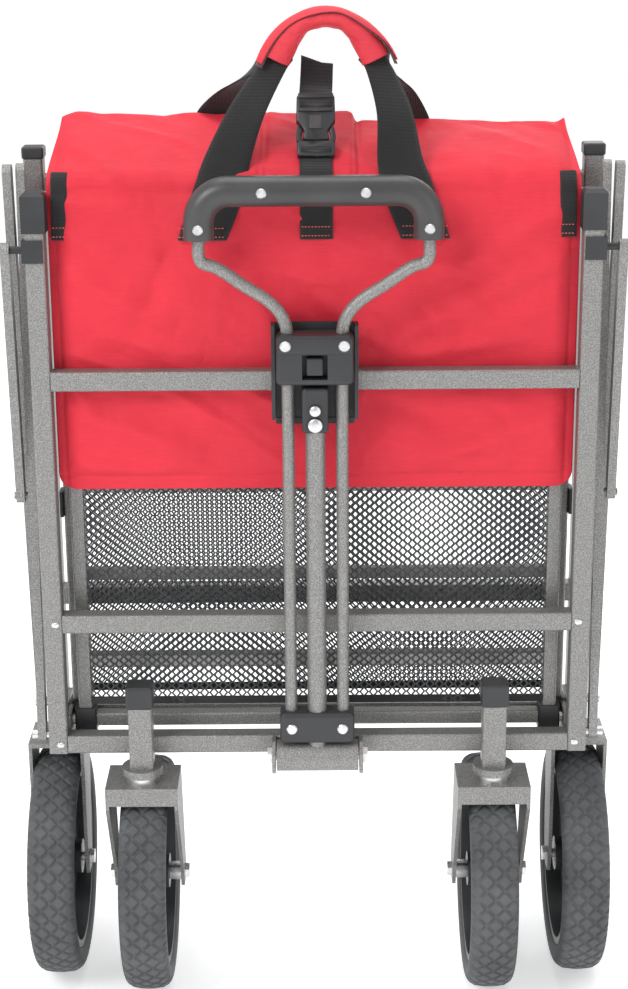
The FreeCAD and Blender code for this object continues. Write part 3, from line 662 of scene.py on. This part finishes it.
SLEEVE_LOW, SLEEVE_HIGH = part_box("carry_sleeve")
SLEEVE_X = (SLEEVE_LOW.x + SLEEVE_HIGH.x) / 2 + 2 * MM
SLEEVE_Y = (SLEEVE_LOW.y + SLEEVE_HIGH.y) / 2
SLEEVE_SPAN = (SLEEVE_HIGH.x - SLEEVE_LOW.x) / 2 - 21 * MM
SLEEVE_APEX = SLEEVE_HIGH.z - 8 * MM
SLEEVE_SAG = 32 * MM
# The sleeve's radii and how they change towards its ends, in millimetres.
SLEEVE_HIGH_R = 7.2
SLEEVE_DEEP_R = 13.0
SLEEVE_FLARE = 4.6
SLEEVE_PINCH = 3.0
# How finely the sleeve and its flaps are meshed.
SLEEVE_RINGS = 90
SLEEVE_SIDES = 40
FLAP_COLUMNS = 70
FLAP_ROWS = 12


def sleeve_axis(t):
    """Centre of the carry sleeve at t from -1 to 1, a flattened arch."""
    drop = SLEEVE_SAG * (0.55 * t * t + 0.45 * abs(t) ** 3.2)
    return Vector((SLEEVE_X + SLEEVE_SPAN * t, SLEEVE_Y, SLEEVE_APEX - drop))


def sleeve_frame(t):
    """Direction along the sleeve at t, and the direction out of its upper side."""
    along = (sleeve_axis(t + 0.02) - sleeve_axis(t - 0.02)).normalized()
    out = FRONT.cross(along).normalized()
    if out.z < 0:
        out = -out
    return along, out


def sleeve_offset(t, out, angle):
    """From the sleeve's centre to its skin at an angle from its top towards the front."""
    flare = smooth_step(abs(t), 0.35, 1.0)
    high = (SLEEVE_HIGH_R + SLEEVE_FLARE * flare) * MM
    deep = (SLEEVE_DEEP_R - SLEEVE_PINCH * flare) * MM
    return out * math.cos(angle) * high + FRONT * math.sin(angle) * deep


def carry_sleeve():
    """The crumpled padded tube round the carry straps, hollow at both ends."""
    rings = []
    for i in range(SLEEVE_RINGS):
        t = 2 * i / (SLEEVE_RINGS - 1) - 1
        _, out = sleeve_frame(t)
        middle = sleeve_axis(t)
        ring = []
        for k in range(SLEEVE_SIDES):
            angle = math.tau * k / SLEEVE_SIDES
            across, ahead = math.cos(angle), math.sin(angle)
            crumple = 1 + 0.10 * noise.noise((t * 5, across * 1.3, ahead * 1.3))
            crumple += 0.035 * noise.noise((t * 17, across * 3, ahead * 3))
            ring.append(middle + sleeve_offset(t, out, angle) * crumple)
        rings.append(ring)
    for ring, t in ((rings[0], -1), (rings[-1], 1)):
        middle = sleeve_axis(t)
        along, _ = sleeve_frame(t)
        inner = [middle + (p - middle) * 0.72 for p in ring]
        deep = [q - along * (t * 6 * MM) for q in inner]
        if t < 0:
            rings = [deep, inner] + rings
        else:
            rings = rings + [inner, deep]
    verts, faces = loft(rings)
    piece = new_piece("carry_wrap", verts, faces, SLEEVE_RED)
    add_modifier(piece, "SUBSURF", levels=1, render_levels=1)
    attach(piece, "carry_handle")
    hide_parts("carry_sleeve")


def wrap_flap(name, lift, thick, low_angle, reach, material):
    """The wrap's overlapping closing flap, from its top down its front face."""
    outer = []
    inner = []
    for r in range(FLAP_ROWS):
        v = r / (FLAP_ROWS - 1)
        for c in range(FLAP_COLUMNS):
            t = (2 * c / (FLAP_COLUMNS - 1) - 1) * reach
            _, out = sleeve_frame(max(-1, min(1, t)))
            edge = math.radians(low_angle + 8 * noise.noise((t * 2.2, 0, 9)) - 14 * max(0, t))
            off = sleeve_offset(t, out, edge * v)
            up = off.normalized()
            lifted = lift + 4.5 * MM * smooth_step(t, 0.55, 1.0) * v
            middle = sleeve_axis(t)
            outer.append(middle + off + up * (lifted + thick))
            inner.append(middle + off + up * lifted)
    verts, faces = grid_shell(outer, inner, FLAP_COLUMNS, FLAP_ROWS)
    piece = new_piece(name, verts, faces, material)
    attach(piece, "carry_handle")


def leg_mesh(route, widths, facings, level=0):
    """A strap through route. The edges of its first level steps stay level."""
    points = spline(route, LEG_STEPS)
    acrosses, normals = frames_along(points, spline(facings, LEG_STEPS))
    for i in range(level):
        keep = smooth_step(i, 0, level)
        side = RIGHT if acrosses[i].x > 0 else -RIGHT
        acrosses[i] = (side * (1 - keep) + acrosses[i] * keep).normalized()
    spread = spline([Vector((w, 0, 0)) for w in widths], LEG_STEPS)
    return ribbon(points, acrosses, normals, [v.x for v in spread], WEB_THICK)


def beside(place, x, y, z, sign):
    """A place moved by x away from the middle and by y and z, in millimetres."""
    return place + Vector((sign * x * MM, y * MM, z * MM))


def front_leg(sign, end):
    """Webbing sewn up the mat's face, then free into the sleeve's end."""
    route = []
    for t in (0.0, 0.25, 0.5, 0.75, 1.0):
        x = sign * (LEG_X + (LEG_IN - LEG_X) * t)
        point, _ = mat_point(x, WEB_FOOT_S + (UPRIGHT - WEB_FOOT_S) * t, 1.3 * MM)
        route.append(point)
    top = route[-1]
    route += [beside(top, -6, 5, 20, sign), beside(top * 0.42 + end * 0.58, 4, -5, 2, sign),
              beside(end, 2, -3, -6, sign), beside(end, -7, 0, 4, sign)]
    widths = [LEG_W] * 5 + [LEG_W * share for share in (0.92, 0.72, 0.52, 0.44)]
    facings = [FRONT] * 5 + [FRONT * 0.9 + UP * 0.2]
    facings += [FRONT + RIGHT * (sign * turn) for turn in (0.25, 0.4, 0.5)]
    return leg_mesh(route, widths, facings, 30)


def rear_leg(sign, end):
    """Webbing from behind the mat's lip up into the sleeve's end."""
    foot, _ = mat_point(sign * REAR_LEG_X, UPRIGHT + FOLD_RUN + SLOPE + LIP_RUN * 0.5, 1.4 * MM)
    route = [beside(foot, 3, 3, -14, sign), foot, beside(foot * 0.45 + end * 0.55, 3, 5, 4, sign),
             beside(end, 5, 5, 2, sign), beside(end, -5, 2, 5, sign)]
    widths = [LEG_W * share for share in (0.62, 0.62, 0.56, 0.46, 0.40)]
    facings = [-FRONT, UP - FRONT, FRONT * 0.3 + UP, FRONT + UP * 0.3, FRONT]
    return leg_mesh(route, widths, facings)


def carry_legs():
    """The webbing that runs from the mat up into the carry sleeve, front and rear."""
    front = []
    rear = []
    for sign in (-1, 1):
        end = sleeve_axis(sign * 0.98)
        front.append(front_leg(sign, end))
        rear.append(rear_leg(sign, end))
    verts, faces = join(front)
    piece = new_piece("carry_webbing_front", verts, faces, WEB)
    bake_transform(piece)
    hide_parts("carry_webbing")
    verts, faces = join(rear)
    piece = new_piece("carry_webbing_rear", verts, faces, WEB)
    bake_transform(piece)


# ---------------------------------------------------------------- buckle

PLUG_LOW, PLUG_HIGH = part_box("buckle_plug")
BUCKLE_TILT = math.radians(27)
TAIL_STEPS = 40
TAIL_SLANT = 0.27
BUCKLE_UP = Vector((0, math.sin(BUCKLE_TILT), math.cos(BUCKLE_TILT)))
BUCKLE_OUT = Vector((0, -math.cos(BUCKLE_TILT), math.sin(BUCKLE_TILT)))


def buckle_place(x, up, out):
    """A place in the buckle's tilted frame, in millimetres from its plug's lower edge."""
    base = Vector((STRAP_X, (PLUG_LOW.y + PLUG_HIGH.y) / 2, (PLUG_LOW.z + PLUG_HIGH.z) / 2))
    base -= BUCKLE_UP * 13 * MM
    return base + RIGHT * x * MM + BUCKLE_UP * up * MM + BUCKLE_OUT * out * MM


def plate_piece(name, outline, back, front, material, body, bevel):
    """A plate with the outline (x, up) in the buckle's own plane, between two depths."""
    count = len(outline)
    verts = [buckle_place(x, up, back) for x, up in outline]
    verts += [buckle_place(x, up, front) for x, up in outline]
    faces = [tuple(range(count))[::-1], tuple(range(count, 2 * count))]
    for k in range(count):
        j = (k + 1) % count
        faces.append((k, j, j + count, k + count))
    piece = new_piece(name, verts, faces, material)
    add_modifier(piece, "BEVEL", width=bevel * MM, segments=3, limit_method="ANGLE",
                 angle_limit=math.radians(35))
    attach(piece, body)
    return piece


def both_sides(half):
    """An outline from its right half."""
    return half + [(-x, up) for x, up in reversed(half)]


def bar_outline(half, low, high):
    """A rectangle from low to high, half wide on either side."""
    return both_sides([(0, low), (half, low), (half, high), (0, high)])


def buckle():
    """The side-release buckle: a socket with two raised bars, and a plug with two arms."""
    outline = both_sides([(0, 13), (9.5, 13), (10.5, 17), (9.0, 20.5), (13.2, 27), (15.5, 29),
                          (15.0, 49), (12.5, 51.5), (0, 51.5)])
    socket = plate_piece("buckle_socket_body", outline, -5.2, 5.2, PLASTIC, "buckle", 1.3)
    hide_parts("buckle_socket")
    for name, low, high in (("buckle_socket_bar", 36.0, 39.0), ("buckle_socket_lip", 47.0, 51.0)):
        plate_piece(name, bar_outline(13.8, low, high), 5.0, 6.9, PLASTIC, "buckle", 0.8)
    plate_piece("buckle_socket_panel", bar_outline(5.0, 22, 33), 5.1, 5.8, GRIP, "buckle", 0.3)
    plate_piece("buckle_strap_turn", bar_outline(12.6, 39.6, 46.4), 5.0, 6.4, WEB, "buckle", 0.5)
    outline = both_sides([(0, 0), (14.8, 0), (15.2, 11), (12.8, 12.6), (0, 12.6)])
    plug = plate_piece("buckle_plug_body", outline, -4.4, 4.6, PLASTIC, "mat", 1.2)
    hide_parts("buckle_plug")
    for side in (-1, 1):
        arm = [(9.8, 12.0), (15.0, 12.0), (15.8, 17), (14.8, 23.5), (13.6, 26.5), (10.4, 21.6),
               (11.6, 17.5)]
        arm = [(side * x, up) for x, up in arm]
        plate_piece("buckle_arm_" + ("left" if side < 0 else "right"), arm, -3.2, 3.4, PLASTIC,
                    "mat", 0.9)
    plate_piece("buckle_plug_strap", bar_outline(12.0, 2.6, 7.2), 4.2, 5.6, WEB, "mat", 0.5)


def strap_tail():
    """The strap's free end above the socket, twisted a little and cut on a slant."""
    route = [buckle_place(0, 40, 2), buckle_place(0, 51, 1.5), buckle_place(0.6, 62, -2.0),
             buckle_place(1.4, 80, 1.0)]
    twists = [BUCKLE_OUT + RIGHT * turn for turn in (0, 0, 0.12, 0.25)]
    points = spline(route, TAIL_STEPS)
    acrosses, normals = frames_along(points, spline(twists, TAIL_STEPS))
    verts, faces = ribbon(points, acrosses, normals, [STRAP_W] * TAIL_STEPS, WEB_THICK)
    for corner in verts[-2 * (RIBBON_CELLS + 1):]:
        corner.z -= (corner.x - STRAP_X) * TAIL_SLANT
    piece = new_piece("buckle_tail", verts, faces, WEB)
    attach(piece, "buckle")
    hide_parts("strap_tail")


# ---------------------------------------------------------------- mesh floor panels

NET_CELL_W = 4.0 * MM
NET_CELL_H = 6.6 * MM
NET_STRAND = 1.75 * MM
NET_THICK = 0.7 * MM
NET_HEM_W = 7 * MM
NET_HEM_THICK = 1.1 * MM


def net_strands(low, high, middle, phase):
    """Verts and faces of upright zigzag strands that touch their neighbours at every bend."""
    columns = int((high.x - low.x) / NET_CELL_W)
    rows = int((high.z - low.z) / NET_CELL_H) * 2
    pitch_x = (high.x - low.x) / columns
    pitch_z = (high.z - low.z) / rows
    verts = []
    faces = []
    for c in range(columns):
        centre = low.x + pitch_x * (c + 0.5)
        start = len(verts)
        for r in range(rows + 1):
            side = 1 if (r + c) % 2 else -1
            x = centre + side * (pitch_x / 2 - NET_STRAND * 0.35)
            z = low.z + pitch_z * r
            sway = 0.5 * MM * noise.noise((x * 30, z * 30, phase))
            for dx, dy in ((-1, -1), (1, -1), (1, 1), (-1, 1)):
                verts.append((x + dx * NET_STRAND / 2, middle + sway + dy * NET_THICK / 2, z))
        for r in range(rows):
            a = start + 4 * r
            for k in range(4):
                j = (k + 1) % 4
                faces.append((a + k, a + j, a + 4 + j, a + 4 + k))
    return verts, faces


def net_panel(node, name, body, phase):
    """Open diamond net with a webbing hem along its lower and upper edges."""
    low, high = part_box(node)
    middle = (low.y + high.y) / 2
    verts, faces = net_strands(low, high, middle, phase)
    piece = new_piece(name, verts, faces, NET, smooth=False)
    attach(piece, body)
    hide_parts(node)
    parts = []
    for z in (low.z + NET_HEM_W / 2, high.z - NET_HEM_W / 2):
        ends = [Vector((low.x, middle, z)), Vector((high.x, middle, z))]
        parts.append(ribbon(ends, [UP] * 2, [FRONT] * 2, [NET_HEM_W] * 2, NET_HEM_THICK))
    verts, faces = join(parts)
    hem = new_piece(name + "_hem", verts, faces, WEB)
    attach(hem, body)


# ---------------------------------------------------------------- tyres

TREAD_CELLS = 42
GROOVE_W = 1.5 * MM
GROOVE_D = 1.7 * MM
TYRE_STEPS = 820
TREAD_COLUMNS = 52
TREAD_CROWN = 1.3 * MM
TREAD_DEEP = 9 * MM
SHOULDER_STEPS = 6
SHOULDER_H = 11 * MM
SEAT_DEPTH = 21.2 * MM


def tread_cut(angle, x, radius):
    """Depth of the diamond grooves at an angle and a place across the tyre."""
    pitch = math.tau * radius / TREAD_CELLS
    run = angle * radius
    depth = 0.0
    for sign in (-1, 1):
        phase = (run + sign * x) / pitch
        off = abs(phase - round(phase)) * pitch * math.sqrt(0.5)
        depth = max(depth, 1 - smooth_step(off, GROOVE_W * 0.45, GROOVE_W * 1.15))
    return depth * GROOVE_D


def tyre_profile(half, seat, radius):
    """(x, r) of the tyre's section from bead to bead, the tread rounded at its shoulders."""
    start = radius - SHOULDER_H
    left = [(-half + 3.5 * MM, seat), (-half + 1.2 * MM, seat + 2.5 * MM), (-half, seat + 7 * MM),
            (-half, start)]
    for k in range(1, SHOULDER_STEPS):
        turn = math.pi / 2 * k / SHOULDER_STEPS
        left.append((-half + 8 * MM * (1 - math.cos(turn)), start + 9.2 * MM * math.sin(turn)))
    tread = []
    inner = half - 7 * MM
    for k in range(TREAD_COLUMNS + 1):
        x = -inner + 2 * inner * k / TREAD_COLUMNS
        tread.append((x, radius - TREAD_CROWN * (x / inner) ** 2))
    right = [(-x, r) for x, r in reversed(left)]
    return left + tread + right


def tyre(node, body):
    """The tyre as one closed ring of sections, with its tread cut into it."""
    low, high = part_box(node)
    centre = (low + high) / 2
    radius = (high.z - low.z) / 2
    half = (high.x - low.x) / 2
    profile = tyre_profile(half, radius - SEAT_DEPTH, radius)
    count = len(profile)
    verts = []
    faces = []
    for i in range(TYRE_STEPS):
        angle = math.tau * i / TYRE_STEPS
        for x, r in profile:
            if r > radius - TREAD_DEEP:
                r -= tread_cut(angle, x, radius)
            verts.append(Vector((centre.x + x, centre.y + r * math.sin(angle),
                                 centre.z + r * math.cos(angle))))
        j = (i + 1) % TYRE_STEPS
        for k in range(count):
            m = (k + 1) % count
            faces.append((i * count + k, i * count + m, j * count + m, j * count + k))
    piece = new_piece(node.replace("tyre", "tyre_tread"), verts, faces, RUBBER)
    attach(piece, body)
    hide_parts(node)


# ---------------------------------------------------------------- rivets and plastic trim

def dome(place, radius, height, sides=28, rows=6):
    """Verts and faces of a low domed rivet head that faces the front."""
    rings = []
    for i in range(rows + 1):
        turn = math.pi / 2 * i / (rows + 0.4)
        rings.append([place + FRONT * (height * math.sin(turn))
                      + (RIGHT * math.cos(a) + UP * math.sin(a)) * (radius * math.cos(turn))
                      for a in (math.tau * k / sides for k in range(sides))])
    return loft(rings)


def rivet_set(name, places, radius, body, height=1.1 * MM):
    """One steel piece with a domed head at every place."""
    verts, faces = join([dome(place, radius, height) for place in places])
    piece = new_piece(name, verts, faces, STEEL)
    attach(piece, body)


def face_spots(node, spots):
    """Places on a node's front face at (x share, z share) of its box."""
    low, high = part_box(node)
    size = high - low
    return [Vector((low.x + size.x * u, low.y - 0.1 * MM, low.z + size.z * v)) for u, v in spots]


def rivets():
    """Domed heads on the mast cap and beside the ends of two crossbars."""
    for which, share, radius in (("upper", 0.51, 4.6 * MM), ("lower", 0.19, 5.9 * MM)):
        spots = face_spots("mast_cap", [(0.5, share)])
        rivet_set("mast_cap_rivet_" + which, spots, radius, "mast", 1.9 * MM)
    for name in ("lower_crossbar", "bottom_crossbar"):
        spots = face_spots(name, [(-0.012, 0.5), (1.012, 0.5)])
        rivet_set(name + "_rivets", spots, 2.6 * MM, "front_frame")


def block_band():
    """The raised upper band of the handle's middle block."""
    low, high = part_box("middle_block")
    half = (high.x - low.x) / 2 - 1.2 * MM
    top = high.z - 1.8 * MM
    ring = [(-half, top - 12.5 * MM), (half, top - 12.5 * MM), (half, top), (-half, top)]
    verts = [(x, low.y + d, z) for d in (0.6 * MM, -0.9 * MM) for x, z in ring]
    faces = [(0, 1, 2, 3), (7, 6, 5, 4)]
    faces += [(k, (k + 1) % 4, (k + 1) % 4 + 4, k + 4) for k in range(4)]
    piece = new_piece("middle_block_band", verts, faces, PLASTIC)
    add_modifier(piece, "BEVEL", width=0.7 * MM, segments=3)
    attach(piece, "pull_handle")


# ---------------------------------------------------------------- stage

FLOOR_HALF = 30.0
CAMERA_AT = Vector((2 * MM, -1596 * MM, 950 * MM))
CAMERA_PITCH = 17.6
CAMERA_ROLL = 0.4
CAMERA_LENS = 72.8
CAMERA_SENSOR = 36
WORLD_STRENGTH = 0.62
BACKDROP_STRENGTH = 1.0
FLOOR_GLOW = 0.45
WAGON_MIDDLE = Vector((0, 0, 0.4))


def area_light(name, place, size, power):
    """A square lamp of size metres and power watts that looks at the wagon's middle."""
    data = bpy.data.lights.new(name, "AREA")
    data.size = size
    data.energy = power
    made = bpy.data.objects.new(name, data)
    made.location = place
    made.rotation_euler = (WAGON_MIDDLE - Vector(place)).to_track_quat("-Z", "Y").to_euler()
    bpy.context.scene.collection.objects.link(made)


def backdrop():
    """A white world that lights the wagon less than it shows behind it."""
    world = bpy.data.worlds.new("studio")
    bpy.context.scene.world = world
    world.use_nodes = True
    tree = world.node_tree
    seen = tree.nodes.new("ShaderNodeBackground")
    paths = tree.nodes.new("ShaderNodeLightPath")
    mixed = tree.nodes.new("ShaderNodeMixShader")
    lit = tree.nodes["Background"]
    for white, strength in ((lit, WORLD_STRENGTH), (seen, BACKDROP_STRENGTH)):
        white.inputs["Color"].default_value = (1, 1, 1, 1)
        white.inputs["Strength"].default_value = strength
    tree.links.new(paths.outputs["Is Camera Ray"], mixed.inputs["Fac"])
    tree.links.new(lit.outputs["Background"], mixed.inputs[1])
    tree.links.new(seen.outputs["Background"], mixed.inputs[2])
    tree.links.new(mixed.outputs["Shader"], tree.nodes["World Output"].inputs["Surface"])


def floor_material():
    """Pale, and a little luminous so that the floor stays white under the wagon."""
    s = Shader("pale_floor", Roughness=0.8, Emission_Strength=FLOOR_GLOW)
    s.bsdf.inputs["Emission Color"].default_value = (1, 1, 1, 1)
    s.colour(s.ramp(s.noise(3, 2), (0.86, 0.87, 0.88), (0.9, 0.9, 0.91)))
    return s.material


def stage():
    """Floor, backdrop and four lamps."""
    far = FLOOR_HALF
    verts = [(-far, -far, 0), (far, -far, 0), (far, far, 0), (-far, far, 0)]
    floor = new_piece("floor", verts, [(0, 1, 2, 3)], floor_material())
    backdrop()
    for name, place, size, power in (("key", (-1.6, -1.7, 2.2), 1.1, 40),
                                     ("fill", (1.9, -1.9, 1.3), 2.0, 10),
                                     ("top", (0, 0.4, 2.6), 1.6, 22),
                                     ("back", (0.6, 2.2, 1.4), 1.6, 12)):
        area_light(name, place, size, power)


def camera():
    data = bpy.data.cameras.new("camera")
    data.lens = CAMERA_LENS
    data.sensor_width = CAMERA_SENSOR
    made = bpy.data.objects.new("camera", data)
    made.location = CAMERA_AT
    made.rotation_euler = (math.radians(90 - CAMERA_PITCH), math.radians(CAMERA_ROLL), 0)
    bpy.context.scene.collection.objects.link(made)
    bpy.context.scene.camera = made
    bpy.context.scene.view_settings.view_transform = "Standard"


# ---------------------------------------------------------------- build

paint_frame()
camera()
stage()
wrapped_mat()
mat_seams()
side_loops()
box_stitches()
carry_sleeve()
# The dark sheet under the flap is painted shade along the flap's edge, not a lining.
wrap_flap("carry_flap_painted_shade", 0.3 * MM, 0.8 * MM, 56, 1.10, FLAP_SHADE)
wrap_flap("carry_flap", 1.2 * MM, 1.1 * MM, 52, 1.07, SLEEVE_RED)
carry_legs()
buckle()
strap_tail()
rivets()
block_band()
net_panel("front_mesh", "front_net", "front_panel", 0.0)
net_panel("rear_mesh", "rear_net", "rear_panel", 4.0)
for wheel in ("left", "right"):
    tyre("caster_tyre_" + wheel, "caster_wheel_" + wheel)
    tyre("rear_tyre_" + wheel, "rear_wheel_" + wheel)
